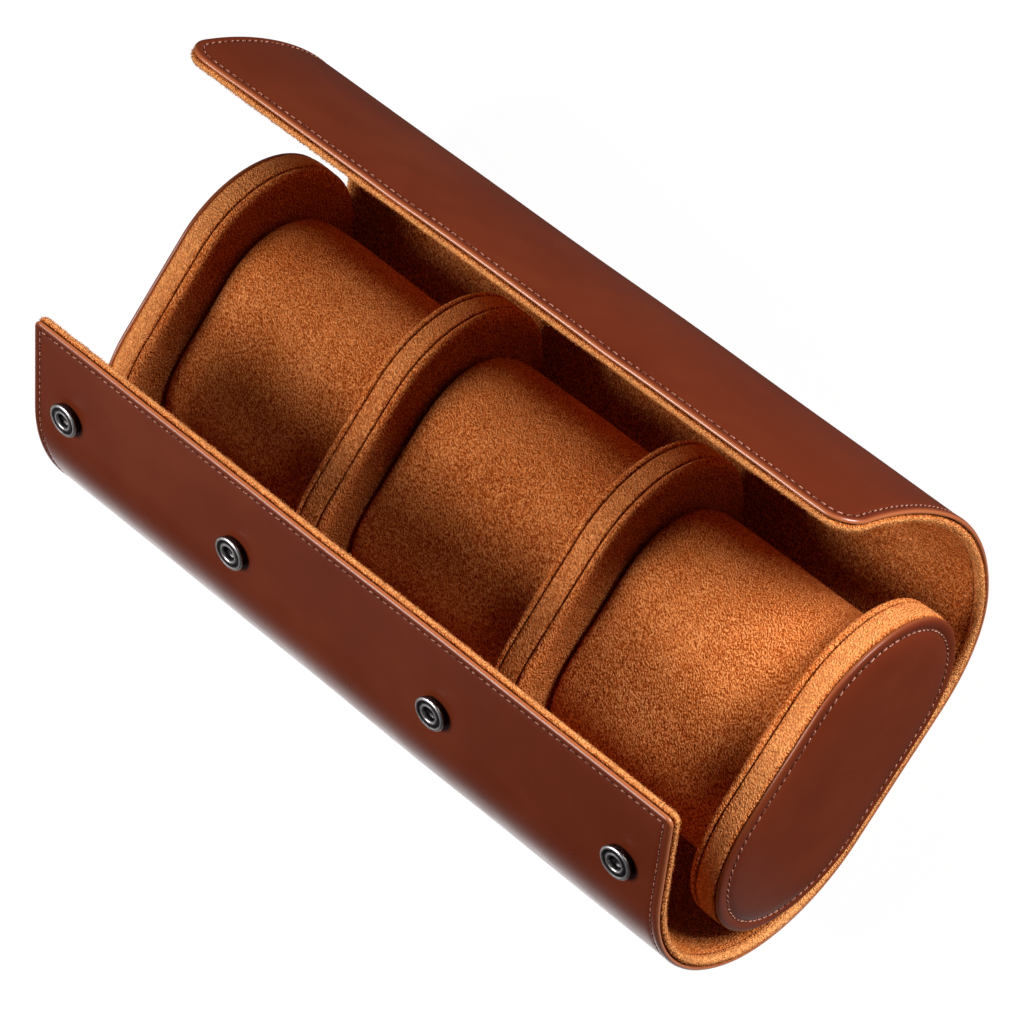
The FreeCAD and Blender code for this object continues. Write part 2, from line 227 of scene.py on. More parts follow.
def brushedSuede():
    look = suedeLook
    finish, tree, place = newFinish("brushedSuede")
    lie = addNode(tree, "ShaderNodeMapping", {"vector_type": "TEXTURE"}, Vector=place,
                  Rotation=(0.0, 0.0, np.radians(look["lie"])),
                  Scale=[size * mm for size in look["tuft"]]).outputs["Vector"]
    # painted shade: the tuft noise less the same noise shifted towards the light gives every tuft a lit and a
    # shaded side
    towardLight = addNode(tree, "ShaderNodeVectorMath", i0=lie, i1=look["lean"]).outputs["Vector"]
    tuft, shadedTuft = [addNode(tree, "ShaderNodeTexNoise", Vector=spot, **look["tuftNoise"]).outputs["Fac"]
                    for spot in (lie, towardLight)]
    nap = addMix(tree, look["clumpShare"], tuft, addNoise(tree, place, *look["clump"]))
    lay = addMix(tree, look["brushShare"], nap, addNoise(tree, place, *look["brush"]))
    napWithTuftShade = addMath(tree, "MULTIPLY_ADD", addMath(tree, "SUBTRACT", tuft, shadedTuft), look["tuftShadeShare"], lay)
    tone = addTone(tree)
    # pale where raw edges are cut and on loose fibres, and painted light on the bands
    cutAndLitShare = addRange(tree, tone, (0.0, -1.0), (0.0, 1.0))
    edge = addBlend(tree, cutAndLitShare, addRamp(tree, napWithTuftShade, look["dye"]), look["cut"])
    # seams draw in unevenly, so the painted shadow of seams and the painted shade of faces is broken
    broken = addRange(tree, addNoise(tree, place, *look["pucker"]), look["puckerFrom"], look["puckerTo"])
    depth = addMath(tree, "MULTIPLY", tone, broken, clamp=True)
    addSurface(tree, Base_Color=addBlend(tree, depth, edge, look["seamShadow"]), Roughness=look["roughness"],
               Specular_IOR_Level=0.0, Normal=addBump(tree, nap, *look["bump"]), Sheen_Weight=look["sheen"],
               Sheen_Roughness=look["sheenRoughness"], Sheen_Tint=linear(look["sheenTint"]))
    return finish


# Waxed polyester thread: dull rose-brown on the leather, tan on the lining (tone 1), slightly glossy, with
# fine flecks where its plies show. Tone -1 is the painted shade inside a needle hole.
threadLook = {
    "dye": ((0.38, "#5C2C1E"), (0.62, "#B07E6C")), "tan": "#8A4E22", "hole": "#1C0A05",
    "ply": (0.5, 1.0), "bump": (0.4, 0.1), "roughness": 0.55, "gloss": 0.2,
}


def waxedThread():
    look = threadLook
    finish, tree, place = newFinish("waxedThread")
    ply = addNoise(tree, place, *look["ply"])
    tone = addTone(tree)
    plain = addBlend(tree, tone, addRamp(tree, ply, look["dye"]), look["tan"])
    shadedHole = addRange(tree, tone, (0.0, -1.0), (0.0, 1.0))
    addSurface(tree, Base_Color=addBlend(tree, shadedHole, plain, look["hole"]), Roughness=look["roughness"],
               Specular_IOR_Level=look["gloss"], Normal=addBump(tree, ply, *look["bump"]))
    return finish


# Gunmetal plate on pressed brass: dark grey, fairly bright where rubbed (tone 1), clouded where it isn't
gunmetalLook = {
    "plate": ((0.2, "#2A2728"), (0.95, "#C9C4C4")), "cloud": (0.75, 5.0), "cloudShare": 0.5,
    "roughness": (0.28, 0.5), "bump": (0.2, 0.1),
}


def gunmetalPlate():
    look = gunmetalLook
    finish, tree, place = newFinish("gunmetalPlate")
    cloud = addNoise(tree, place, *look["cloud"])
    rubbed = addMath(tree, "MULTIPLY_ADD", cloud, look["cloudShare"], addTone(tree))
    addSurface(tree, Base_Color=addRamp(tree, rubbed, look["plate"]), Metallic=1.0,
               Roughness=addRange(tree, cloud, (0.0, 1.0), look["roughness"]),
               Normal=addBump(tree, cloud, *look["bump"]))
    return finish


leatherFinish = polishedLeather()
suedeFinish = brushedSuede()
threadFinish = waxedThread()
gunmetalFinish = gunmetalPlate()
print("finishes ready")

# Loose fibres: thin spikes standing off raw edges and brushed faces, so that their outlines look furry
fibre = {"length": (0.18, 0.5), "radius": 0.045, "girth": (0.7, 1.3), "lean": 0.75, "curl": 0.25, "sunk": 0.1,
         "waist": 0.8, "tip": 0.015, "pale": 0.6, "sides": 3}


def looseFibres(grid, density, seed, flip, share=1.0):
    # spikes spread evenly over a grid of points, so many per square mm, leaning at random off its outward
    # side; share shortens them where a neighbour comes close
    chance = np.random.default_rng(seed)
    a, b, c, d = grid[:-1, :-1], grid[:-1, 1:], grid[1:, 1:], grid[1:, :-1]
    facing = np.cross(c - a, d - b).reshape(-1, 3) * (-0.5 if flip else 0.5)
    area = np.linalg.norm(facing, axis=-1)
    count = int(density * area.sum())
    pick = chance.choice(len(area), count, p=area / area.sum())
    s, t = chance.random((2, count, 1))
    corners = [corner.reshape(-1, 3)[pick] for corner in (a, b, c, d)]
    near, far = corners[0] * (1 - s) + corners[1] * s, corners[3] * (1 - s) + corners[2] * s
    root = near * (1 - t) + far * t
    lean = facing[pick] / area[pick][:, None] + fibre["lean"] * chance.normal(size=(count, 3))
    lean /= np.linalg.norm(lean, axis=-1, keepdims=True)
    aside = np.cross(lean, chance.normal(size=(count, 3)))
    aside /= np.linalg.norm(aside, axis=-1, keepdims=True)
    turn = np.arange(fibre["sides"]) * 2 * np.pi / fibre["sides"]
    ring = np.cos(turn)[:, None] * aside[:, None] + np.sin(turn)[:, None] * np.cross(lean, aside)[:, None]
    length = chance.uniform(*fibre["length"], (count, 1)) * share
    curl = chance.normal(size=(count, 3)) * fibre["curl"] * length
    girth = fibre["radius"] * chance.uniform(*fibre["girth"], (count, 1, 1))
    points = np.stack([
        (root - fibre["sunk"] * lean)[:, None] + ring * girth,
        (root + 0.5 * length * lean)[:, None] + ring * girth * fibre["waist"],
        (root + length * lean + curl)[:, None] + ring * fibre["tip"],
    ], 1)
    tone = np.broadcast_to(-chance.uniform(0.0, fibre["pale"], (count, 1, 1)), points.shape[:-1])
    return points, manyFaces(points.shape[1], fibre["sides"], count), 0, tone


def arc(radius, degrees):
    # one course of the wrap: its radius and its length
    return radius, np.radians(degrees) * radius


# Wrap: one sheet of leather and lining from the front flap under the roll to the lid, cut in the middle of
# each stretch. A course is (radius, length) on the outer face, and a straight has no radius.
wrap = {
    "halfLength": 100.0, "total": 3.2, "flat": {"front": 15.9, "lid": 19.4},
    "courses": {
        "front": [arc(36.0, 73.0), arc(49.0, 66.3), (None, 26.5)],
        "lid": [arc(39.0, 50.4), arc(70.0, 39.0), arc(100.0, 24.2)],
    },
    "bends": {"front": [28.0, 58.0, 90.0], "lid": [3.0, 30.0, 58.0, 86.0]},
    "bodies": {
        "front": ["base", "front_low", "front_up", "front_flap"],
        "lid": ["base", "lid_low", "lid_back", "lid_top", "lid_end"],
    },
    "corner": {"front": 2.0, "lid": 7.0}, "leastCorner": 0.3, "cornerRoom": 0.3, "cornerSteps": (5, 11),
    "bendReach": 7.5, "rowStep": 1.0, "closeRows": (0.12, 0.4), "columns": 121, "edgeWidth": 4.0,
    # loose fibres on these rows of the lining's edge, so many per square mm
    "rawRows": slice(6, 15), "rawDensity": 13.0, "rawSeed": 200,
    # across the edge: distance in from the edge, depth below the outer face, tone
    "leatherEdge": [
        (4.0, 0.0, 0), (3.4, 0.0, 0), (2.8, 0.03, 0), (2.4, 0.1, 0), (2.1, 0.18, 0), (1.88, 0.12, 0),
        (1.62, 0.01, 0), (1.3, -0.07, 0), (0.95, -0.1, 0.02), (0.64, -0.06, 0.1), (0.38, 0.05, 0.35),
        (0.16, 0.25, 0.8), (0.03, 0.5, 1), (0.03, 0.78, 1), (0.16, 0.98, 0.7), (0.5, 1.12, 0.3),
        (1.2, 1.16, 0), (2.4, 1.18, 0),
    ],
    # lining tone: painted shade on the face and deeper in the stitch groove, the cut edge's own paleness,
    # then painted shadow where it tucks under the leather
    "liningEdge": [
        (4.0, 3.2, 0.28), (3.0, 3.2, 0.25), (2.6, 3.17, 0.25), (2.3, 3.08, 0.3), (2.1, 3.0, 0.4),
        (1.9, 3.08, 0.15), (1.6, 3.19, -0.2), (1.2, 3.24, -0.5), (0.8, 3.2, -0.8), (0.4, 3.08, -0.9),
        (0.1, 2.86, -0.9), (-0.08, 2.55, -0.9), (-0.15, 2.2, -0.8), (-0.08, 1.85, -0.5), (0.15, 1.52, 0.2),
        (0.6, 1.36, 0.7), (1.4, 1.32, 1), (2.4, 1.3, 1),
    ],
}


def runLength(side):
    return sum(length for radius, length in wrap["courses"][side])


def station(side, run):
    # outer face at a length along the wrap: the flat bottom, then the courses end to end, the last carried on
    out = wrap["flat"][side] + np.minimum(run, 0.0)
    height = np.zeros_like(run)
    heading = np.zeros_like(run)
    left = np.maximum(run, 0.0)
    for number, (radius, length) in enumerate(wrap["courses"][side]):
        step = left if number == len(wrap["courses"][side]) - 1 else np.minimum(left, length)
        if radius is None:
            out = out + step * np.cos(heading)
            height = height + step * np.sin(heading)
        else:
            turned = heading + step / radius
            out = out + radius * (np.sin(turned) - np.sin(heading))
            height = height + radius * (np.cos(heading) - np.cos(turned))
            heading = turned
        left = left - step
    return out, height, heading


def sheetPoint(side, x, run, depth):
    # a place on the sheet: x along the roll, run along the wrap, depth in from the outer face
    x, run, depth = np.broadcast_arrays(x, np.asarray(run, float), depth)
    out, height, heading = station(side, run)
    way = -1.0 if side == "front" else 1.0
    return np.stack([x, way * (out - depth * np.sin(heading)), height + depth * np.cos(heading)], -1)


def sheetNormal(side, run):
    # out of the leather side
    heading = station(side, np.asarray(run, float))[2]
    way = -1.0 if side == "front" else 1.0
    return np.stack([np.zeros_like(heading), way * np.sin(heading), -np.cos(heading)], -1)


# Hide is never quite flat. Three long low waves: height, length along the roll, length along the wrap, phase
hide = {"up": (0.07, 17.0, 23.0, 0.0), "down": (0.05, 9.3, 14.0, 1.7), "patch": (0.05, 31.0, 19.0, 0.8)}


def ripple(x, run):
    high, length, width, phase = hide["up"]
    wave = high * np.sin(x / length + run / width + phase)
    high, length, width, phase = hide["down"]
    wave = wave + high * np.sin(x / length - run / width + phase)
    high, length, width, phase = hide["patch"]
    return wave + high * np.sin(x / length + phase) * np.sin(run / width)


def cornerPlan(side, inset):
    # plan of one rounded corner pulled in by inset: straight, quarter circle, straight
    reach = max(wrap["corner"][side], wrap["edgeWidth"] + wrap["cornerRoom"])
    radius = max(wrap["corner"][side] - inset, wrap["leastCorner"])
    straight = np.linspace(0, reach - inset - radius, wrap["cornerSteps"][0])
    turn = np.linspace(0, np.pi / 2, wrap["cornerSteps"][1])
    still = np.zeros(len(straight) - 1)
    first = np.concatenate([straight, np.full(len(turn) - 1 + len(still), straight[-1])])
    turn = np.concatenate([still, turn, still + np.pi / 2])
    last = np.concatenate([np.zeros(len(first) - len(still)), straight[1:]])
    x = wrap["halfLength"] - inset - radius * (1 - np.cos(turn)) - last
    run = runLength(side) - reach + first + radius * np.sin(turn)
    return x, run, reach


def edgePlan(side, inset, stations, across, ended):
    # plan of the sheet's edge pulled in by inset: up the left side, across the free end, down the right
    sideX = np.full(len(stations), wrap["halfLength"] - inset)
    if not ended:
        return [(-sideX, stations), (sideX[::-1], stations[::-1])]
    cornerX, cornerRun, reach = cornerPlan(side, inset)
    endX = across * (wrap["halfLength"] - reach)
    endRun = np.full(len(across), runLength(side) - inset)
    x = np.concatenate([-sideX, -cornerX[1:], endX[1:-1], cornerX[::-1], sideX[::-1][1:]])
    run = np.concatenate([stations, cornerRun[1:], endRun[1:-1], cornerRun[::-1], stations[::-1][1:]])
    return [(x, run)]


# Where the press snaps sit: along the roll, in from the free edge, and how the sheet dips round them
snaps = {"places": np.array([-88.0, -32.0, 32.0, 88.0]), "inset": {"front": 22.4, "lid": 5.5},
         "dip": 0.3, "dipSpread": 40.0}


def snapRun(side):
    # length along the wrap at which the sockets or the studs sit
    return runLength(side) - snaps["inset"][side]


def pressed(side, x, run):
    # the sheet dips a little round each press snap, in mm
    away = (x[..., None] - snaps["places"]) ** 2 + ((run - snapRun(side)) ** 2)[..., None]
    return (snaps["dip"] * np.exp(-away / snaps["dipSpread"])).sum(-1)


def sheetParts(side, layer, low, high, ended):
    # face grid, and the edge profile carried along the edge's plan
    edge = wrap[layer + "Edge"]
    flip = (side == "lid") != (layer == "lining")
    cornerX, cornerRun, reach = cornerPlan(side, wrap["edgeWidth"])
    top = high - reach if ended else high
    stations = np.linspace(low, top, int(round((top - low) / wrap["rowStep"])) + 1)
    close = np.array(wrap["closeRows"])
    stations = np.unique(np.concatenate([stations, low + close, top - close]))
    across = np.linspace(-1, 1, wrap["columns"])
    rows, widths = stations, np.full(len(stations), wrap["halfLength"] - wrap["edgeWidth"])
    if ended:
        rows, widths = np.concatenate([rows, cornerRun[1:]]), np.concatenate([widths, cornerX[1:]])
    x, run = widths[:, None] * across, np.broadcast_to(rows[:, None], (len(rows), len(across)))
    sign = 1.0 if layer == "leather" else -1.0
    depth = edge[0][1] + ripple(x, run) + sign * pressed(side, x, run)
    parts = [(sheetPoint(side, x, run, depth), gridFaces(*x.shape, flip=flip), 0, edge[0][2])]
    plans = [edgePlan(side, inset, stations, across, ended) for inset, depth, tone in edge]
    for number in range(len(plans[0])):
        x = np.stack([plan[number][0] for plan in plans])
        run = np.stack([plan[number][1] for plan in plans])
        depth = np.array([depth for inset, depth, tone in edge])[:, None]
        depth = depth + ripple(x, run) + sign * pressed(side, x, run)
        tone = np.broadcast_to(np.array([tone for inset, depth, tone in edge])[:, None], x.shape)
        points = sheetPoint(side, x, run, depth)
        parts.append((points, gridFaces(*x.shape, flip=flip), 0, tone))
        if layer == "lining":
            seed = number + int(low) + wrap["rawSeed"]
            parts.append(looseFibres(points[wrap["rawRows"]], wrap["rawDensity"], seed, flip))
    return parts


# Lock stitch: each stitch is a thin barrel that bows up between two needle holes painted dark as shade, a
# little aslant
stitch = {
    "pitch": 2.1, "ringPitch": 2.1 * 0.97, "length": 1.62, "radius": 0.17, "rise": 0.17, "sink": 0.07,
    "slant": 0.12, "sections": 7, "around": 6, "inset": 2.1, "groove": {"leather": 0.18, "lining": 3.0},
    "planStep": 1.0, "planEnd": 12.0, "planAcross": 201,
}
needleHole = {"radius": 0.21, "long": 1.4, "sides": 6, "back": 0.24, "rise": 0.07, "floor": 0.02,
              "depth": 0.05}


def stitchPoints(centre, normal):
    # centre and normal run along each stitch; a ring of points is set round every section
    along = np.linspace(-1, 1, stitch["sections"])
    centre = centre + normal * (stitch["rise"] * (1 - along ** 2) - stitch["sink"])[:, None]
    ahead = np.gradient(centre, axis=1)
    ahead /= np.linalg.norm(ahead, axis=-1, keepdims=True)
    aside = np.cross(normal, ahead)
    centre = centre + aside * (stitch["slant"] * along)[:, None]
    girth = stitch["radius"] * np.sqrt(np.clip(1 - along ** 6, 0, 1))
    turn = np.linspace(0, 2 * np.pi, stitch["around"], endpoint=False)
    ring = np.cos(turn)[:, None] * aside[:, :, None] + np.sin(turn)[:, None] * normal[:, :, None]
    return centre[:, :, None] + girth[:, None, None] * ring


def needleHoles(centre, normal):
    # a shallow dish at the near end of each stitch, in the gap before it, painted dark as the shade in a
    # needle hole
    ahead = centre[:, 1] - centre[:, 0]
    ahead /= np.linalg.norm(ahead, axis=-1, keepdims=True)
    normal = normal[:, 0]
    aside = np.cross(normal, ahead)
    middle = (centre[:, 0] - ahead * needleHole["back"] + normal * needleHole["rise"])[:, None]
    turn = np.linspace(0, 2 * np.pi, needleHole["sides"], endpoint=False)
    ring = (np.cos(turn)[:, None] * aside[:, None]
            + needleHole["long"] * np.sin(turn)[:, None] * ahead[:, None])
    floor = middle + ring * needleHole["floor"] - normal[:, None] * needleHole["depth"]
    points = np.stack([middle + ring * needleHole["radius"], floor], 1)
    return points, manyFaces(points.shape[1], needleHole["sides"], len(points), flip=True), 1, -1.0


def sewn(centre, normal, tone):
    # stitches and their needle holes
    points = stitchPoints(centre, normal)
    quads = manyFaces(stitch["sections"], stitch["around"], len(points))
    return [(points, quads, 1, tone), needleHoles(centre, normal)]


def stitchSpots(total, pitch):
    # arc lengths of every section of every stitch along a line
    count = int(round(total / pitch))
    middle = (np.arange(count) + 0.5) * total / count
    return middle[:, None] + np.linspace(-0.5, 0.5, stitch["sections"]) * stitch["length"]


def sheetStitches(side, layer, low, high):
    # stitches all round the sheet's edge, of which those between two lengths are kept
    stations = np.arange(-wrap["flat"][side], runLength(side) - stitch["planEnd"], stitch["planStep"])
    x, run = edgePlan(side, stitch["inset"], stations, np.linspace(-1, 1, stitch["planAcross"]), True)[0]
    length = np.concatenate([[0], np.cumsum(np.hypot(np.diff(x), np.diff(run)))])
    spots = stitchSpots(length[-1], stitch["pitch"])
    x, run = np.interp(spots, length, x), np.interp(spots, length, run)
    middle = run[:, stitch["sections"] // 2]
    kept = (middle >= low) & (middle < high)
    x, run = x[kept], run[kept]
    sign = 1.0 if layer == "leather" else -1.0
    depth = stitch["groove"][layer] + ripple(x, run) + sign * pressed(side, x, run)
    centre, normal = sheetPoint(side, x, run, depth), sign * sheetNormal(side, run)
    return sewn(centre, normal, 0.0 if layer == "leather" else 1.0)


def bendEnds(side, bend):
    # where a bend starts and stops turning, in the middle of the sheet
    low, high = bend - wrap["bendReach"], bend + wrap["bendReach"]
    ends = sheetPoint(side, np.zeros(2), np.array([low, high]), wrap["total"] / 2) * mm
    return ends[0].tolist(), ends[1].tolist()


for side, bends in wrap["bends"].items():
    bodies = wrap["bodies"][side]
    middles = [(a + b) / 2 for a, b in zip(bends, bends[1:])]
    limits = [-wrap["flat"][side]] + middles + [runLength(side)]
    for number, bend in enumerate(bends):
        low, high = limits[number], limits[number + 1]
        ended = number == len(bends) - 1
        for layer, finish in (("leather", leatherFinish), ("lining", suedeFinish)):
            parts = sheetParts(side, layer, low, high, ended)
            parts += sheetStitches(side, layer, low, high)
            piece = newPiece(f"wrap_{side}_{number + 1}_{layer}", parts, [finish, threadFinish])
            bendEnds(side, bend)
            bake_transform(piece)
            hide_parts(f"{side}_bend_{number + 1}_{layer}")
            if number or side == "front":
                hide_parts(f"{bodies[number]}_{layer}")
            if ended:
                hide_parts(f"{bodies[number + 1]}_{layer}")
print("wrap made")

# Oval panels: a profile of (x, radius) carried round two straights and two half circles
oval = {"run": 13.5, "middle": 31.4, "arcSteps": 56, "straightSteps": 16}


def ovalPath(run, boxy=2.0):
    # spine offset and outward direction at each step round the closed oval; boxy over 2 squares up its ends
    sweep = np.linspace(-np.pi / 2, np.pi / 2, oval["arcSteps"])
    straight = np.linspace(1, -1, oval["straightSteps"])[1:-1]
    still = np.full(len(straight), np.pi / 2)
    end = np.full(len(sweep), run)
    spine = np.concatenate([end, straight * run, -end, -straight * run])
    turn = np.concatenate([sweep, still, sweep + np.pi, still + np.pi])
    outY, outZ = [np.sign(out) * np.abs(out) ** (2 / boxy) for out in (np.cos(turn), np.sin(turn))]
    return spine, outY, outZ


def ovalPoints(profile, run, middle, boxy=2.0):
    spine, outY, outZ = ovalPath(run, boxy)
    x, radius = profile[:, 0][:, None], profile[:, 1][:, None]
    return np.stack(np.broadcast_arrays(x, spine + radius * outY, middle + radius * outZ), -1)


def softLine(knots, steps):
    # smooth curve through knots (x, radius, tone): cubic pieces whose slopes agree at every knot
    knots = np.array(knots, float)
    length = np.concatenate([[0], np.cumsum(np.hypot(*np.diff(knots[:, :2], axis=0).T))])
    slope = np.gradient(knots, length, axis=0)
    at = np.linspace(0, length[-1], steps)
    left = np.clip(np.searchsorted(length, at, "right") - 1, 0, len(knots) - 2)
    span = (length[left + 1] - length[left])[:, None]
    t = (at - length[left])[:, None] / span
    line = ((2 * t ** 3 - 3 * t ** 2 + 1) * knots[left] + (t ** 3 - 2 * t ** 2 + t) * span * slope[left]
            + (3 * t ** 2 - 2 * t ** 3) * knots[left + 1] + (t ** 3 - t ** 2) * span * slope[left + 1])
    line[:, 1:] = np.clip(line[:, 1:], [0.0, -1.0], [np.inf, 1.0])
    return line


# End panel, drawn for the right end, x out: suede inside face, strip, seam, band, and the padded leather face
endPanel = {
    # suede tone: painted shade on the inside face, painted shadow on the seam and under the leather's edge,
    # painted light on the band
    "suede": [
        (90.7, 0.0, 0.25), (90.75, 12.0, 0.25), (90.9, 22.0, 0.25), (91.05, 26.0, 0.15), (91.3, 27.2, 0),
        (91.9, 27.9, 0), (92.7, 28.1, 0), (93.15, 28.0, 0.1), (93.35, 27.5, 1), (93.5, 27.45, 1),
        (93.65, 28.0, 0.1), (94.4, 28.15, -0.25), (96.3, 28.2, -0.3), (98.2, 28.15, -0.3),
        (98.8, 28.0, 0.1), (99.05, 27.3, 1), (99.1, 26.0, 1),
    ],
    "leather": [
        (98.95, 26.6, 0.2), (99.0, 27.3, 0.6), (99.25, 27.85, 0.8), (99.65, 28.0, 0.45),
        (100.0, 27.85, 0.15), (100.3, 27.4, 0.03), (100.42, 26.8, 0), (100.38, 26.1, 0), (100.2, 25.45, 0),
        (100.1, 25.1, 0), (100.25, 24.7, 0), (100.65, 23.8, 0), (101.1, 22.0, 0), (101.45, 19.0, 0),
        (101.65, 15.0, 0), (101.75, 8.0, 0), (101.75, 0.0, 0),
    ],
    "steps": {"suede": 150, "leather": 130}, "stitchRadius": 25.1, "stitchFace": 100.17,
    "seeds": {"left": 31, "right": 32},
}


def ringStitches(radius, x, way):
    # stitches round the leather face
    spine, outY, outZ = ovalPath(oval["run"])
    y = np.append(spine + radius * outY, spine[0] + radius * outY[0])
    z = np.append(oval["middle"] + radius * outZ, oval["middle"] + radius * outZ[0])
    length = np.concatenate([[0], np.cumsum(np.hypot(np.diff(y), np.diff(z)))])
    spots = stitchSpots(length[-1], stitch["ringPitch"])
    y, z = [np.interp(spots, length, line, period=length[-1]) for line in (y, z)]
    centre = np.stack([np.full_like(y, way * x), y, z], -1)
    return sewn(centre, np.broadcast_to(np.array([way, 0.0, 0.0]), centre.shape), 0.0)


def profilePart(line, way, flip):
    # a profile (x, radius, tone) carried round the oval, for the right end or mirrored for the left
    points = ovalPoints(line[:, :2] * np.array([way, 1.0]), oval["run"], oval["middle"])
    tone = np.broadcast_to(line[:, 2][:, None], points.shape[:-1])
    return points, gridFaces(*points.shape[:-1], closed=True, flip=flip), 0, tone


# Short fibres on the bands, past a radius: so many per square mm, a share of their full length
fur = {"radius": 27.0, "density": 4.0, "share": 0.3}


def ovalFur(points, seed, flip):
    ring = np.concatenate([points, points[:, :1]], 1)
    outer = np.abs(points[:, 0, 2] - oval["middle"]) > fur["radius"]
    return looseFibres(ring[outer], fur["density"], seed, flip, fur["share"])


for name, way in (("left", -1.0), ("right", 1.0)):
    suede = profilePart(softLine(endPanel["suede"], endPanel["steps"]["suede"]), way, way < 0)
    fuzz = ovalFur(suede[0], endPanel["seeds"][name], way < 0)
    piece = newPiece(f"{name}_end_suede", [suede, fuzz], [suedeFinish])
    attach(piece, "base")
    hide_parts(f"{name}_end_lining", f"{name}_end_core", f"{name}_end_band")
    cover = profilePart(softLine(endPanel["leather"], endPanel["steps"]["leather"]), way, way < 0)
    ring = ringStitches(endPanel["stitchRadius"], endPanel["stitchFace"], way)
    piece = newPiece(f"{name}_end_cover", [cover, *ring], [leatherFinish, threadFinish])
    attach(piece, "base")
    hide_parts(f"{name}_end_leather")

# Divider: suede both sides, its band sewn in between two strips; x is measured from its middle
divider = {
    "places": {"left": -32.0, "right": 32.0}, "steps": 230, "seeds": {"left": 33, "right": 34},
    # suede tone: painted shade on the faces, painted shadow on the seams, painted light on the band
    "half": [
        (-5.15, 0.0, 0.3), (-5.1, 14.0, 0.3), (-5.0, 22.0, 0.3), (-4.9, 26.0, 0.2), (-4.65, 27.3, 0),
        (-4.1, 28.0, 0), (-3.4, 28.2, 0), (-2.95, 28.05, 0.1), (-2.75, 27.5, 1), (-2.6, 27.45, 1),
        (-2.45, 28.0, 0.1), (-1.7, 28.15, -0.12), (0.0, 28.2, -0.15),
    ],
}
for name, place in divider["places"].items():
    half = np.array(divider["half"])
    knots = np.concatenate([half, half[-2::-1] * np.array([-1.0, 1.0, 1.0])])
    line = softLine(knots, divider["steps"]) + np.array([place, 0.0, 0.0])
    suede = profilePart(line, 1.0, False)
    fuzz = ovalFur(suede[0], divider["seeds"][name], False)
    piece = newPiece(f"{name}_divider_suede", [suede, fuzz], [suedeFinish])
    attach(piece, "base")
    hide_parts(*[f"{name}_divider_{part}" for part in ("core", "left_face", "right_face", "band")])
print("panels and dividers made")

# Cushions: foam blocks in suede, rounded over front and back, with a crisp fold round each flat end. A coarse
# copy of each swells as cloth under pressure, its movement is capped and laid on the fine mesh, and a slight
# wave is added.
cushions = {
    "spans": {"left": (-89.5, -38.5), "middle": (-25.5, 25.5), "right": (38.5, 89.5)},
    "run": {"left": 8.6, "middle": 9.2, "right": 8.9}, "shift": {"left": -0.9, "middle": -0.5, "right": -0.7},
    "middle": 26.6, "boxy": 2.35, "steps": 180,
    "half": [
        (-0.5, 0.0, 0), (-0.5, 12.0, 0), (-0.48, 19.0, 0), (-0.4, 21.0, 0), (-0.1, 22.0, 0), (0.6, 22.5, 0),
        (2.0, 22.65, 0), (6.0, 22.7, 0), (25.5, 22.7, 0),
    ],
    "voxel": 5.0, "pressure": 4.0, "frames": 20, "cap": (0.3, 0.75, 0.75), "spread": 4.0, "block": 4000,
    "wave": 0.18, "waveLengths": (7.1, 9.7, 6.3),
}


def swelling(name, points, quads):
    # coarse closed copy blown up as cloth: its resting points and how far each moved, in mm
    coarse = newPiece(name + "_coarse", [(points, quads, 0, 0.0)], [])
    remesh = coarse.modifiers.new("even", "REMESH")
    remesh.mode = "VOXEL"
    remesh.voxel_size = cushions["voxel"] * mm
    scene = bpy.context.scene
    even = bpy.data.meshes.new_from_object(coarse.evaluated_get(bpy.context.evaluated_depsgraph_get()))
    coarse.modifiers.clear()
    coarse.data = even
    cloth = coarse.modifiers.new("swell", "CLOTH")
    cloth.settings.use_pressure = True
    cloth.settings.uniform_pressure_force = cushions["pressure"]
    cloth.settings.effector_weights.gravity = 0.0
    cloth.point_cache.frame_end = cushions["frames"]
    rest = np.empty(len(even.vertices) * 3, np.float32)
    even.vertices.foreach_get("co", rest)
    for number in range(1, cushions["frames"] + 1):
        scene.frame_set(number)
    blown = coarse.evaluated_get(bpy.context.evaluated_depsgraph_get()).to_mesh()
    moved = np.empty_like(rest)
    blown.vertices.foreach_get("co", moved)
    bpy.data.objects.remove(coarse)
    scene.frame_set(1)
    rest, moved = rest.reshape(-1, 3) / mm, moved.reshape(-1, 3) / mm
    cap = np.array(cushions["cap"])
    return rest, np.clip(moved - rest, -cap, cap)


def settled(points, rest, moves):
    # each fine point goes with the coarse points near it, nearer ones counting more
    flat = points.reshape(-1, 3)
    out = np.empty_like(flat)
    for start in range(0, len(flat), cushions["block"]):
        block = flat[start:start + cushions["block"]]
        away = (block ** 2).sum(1)[:, None] + (rest ** 2).sum(1) - 2 * block @ rest.T
        share = np.exp(-(away - away.min(1, keepdims=True)) / (2 * cushions["spread"] ** 2))
        out[start:start + len(block)] = block + share @ moves / share.sum(1, keepdims=True)
    return out.reshape(points.shape)


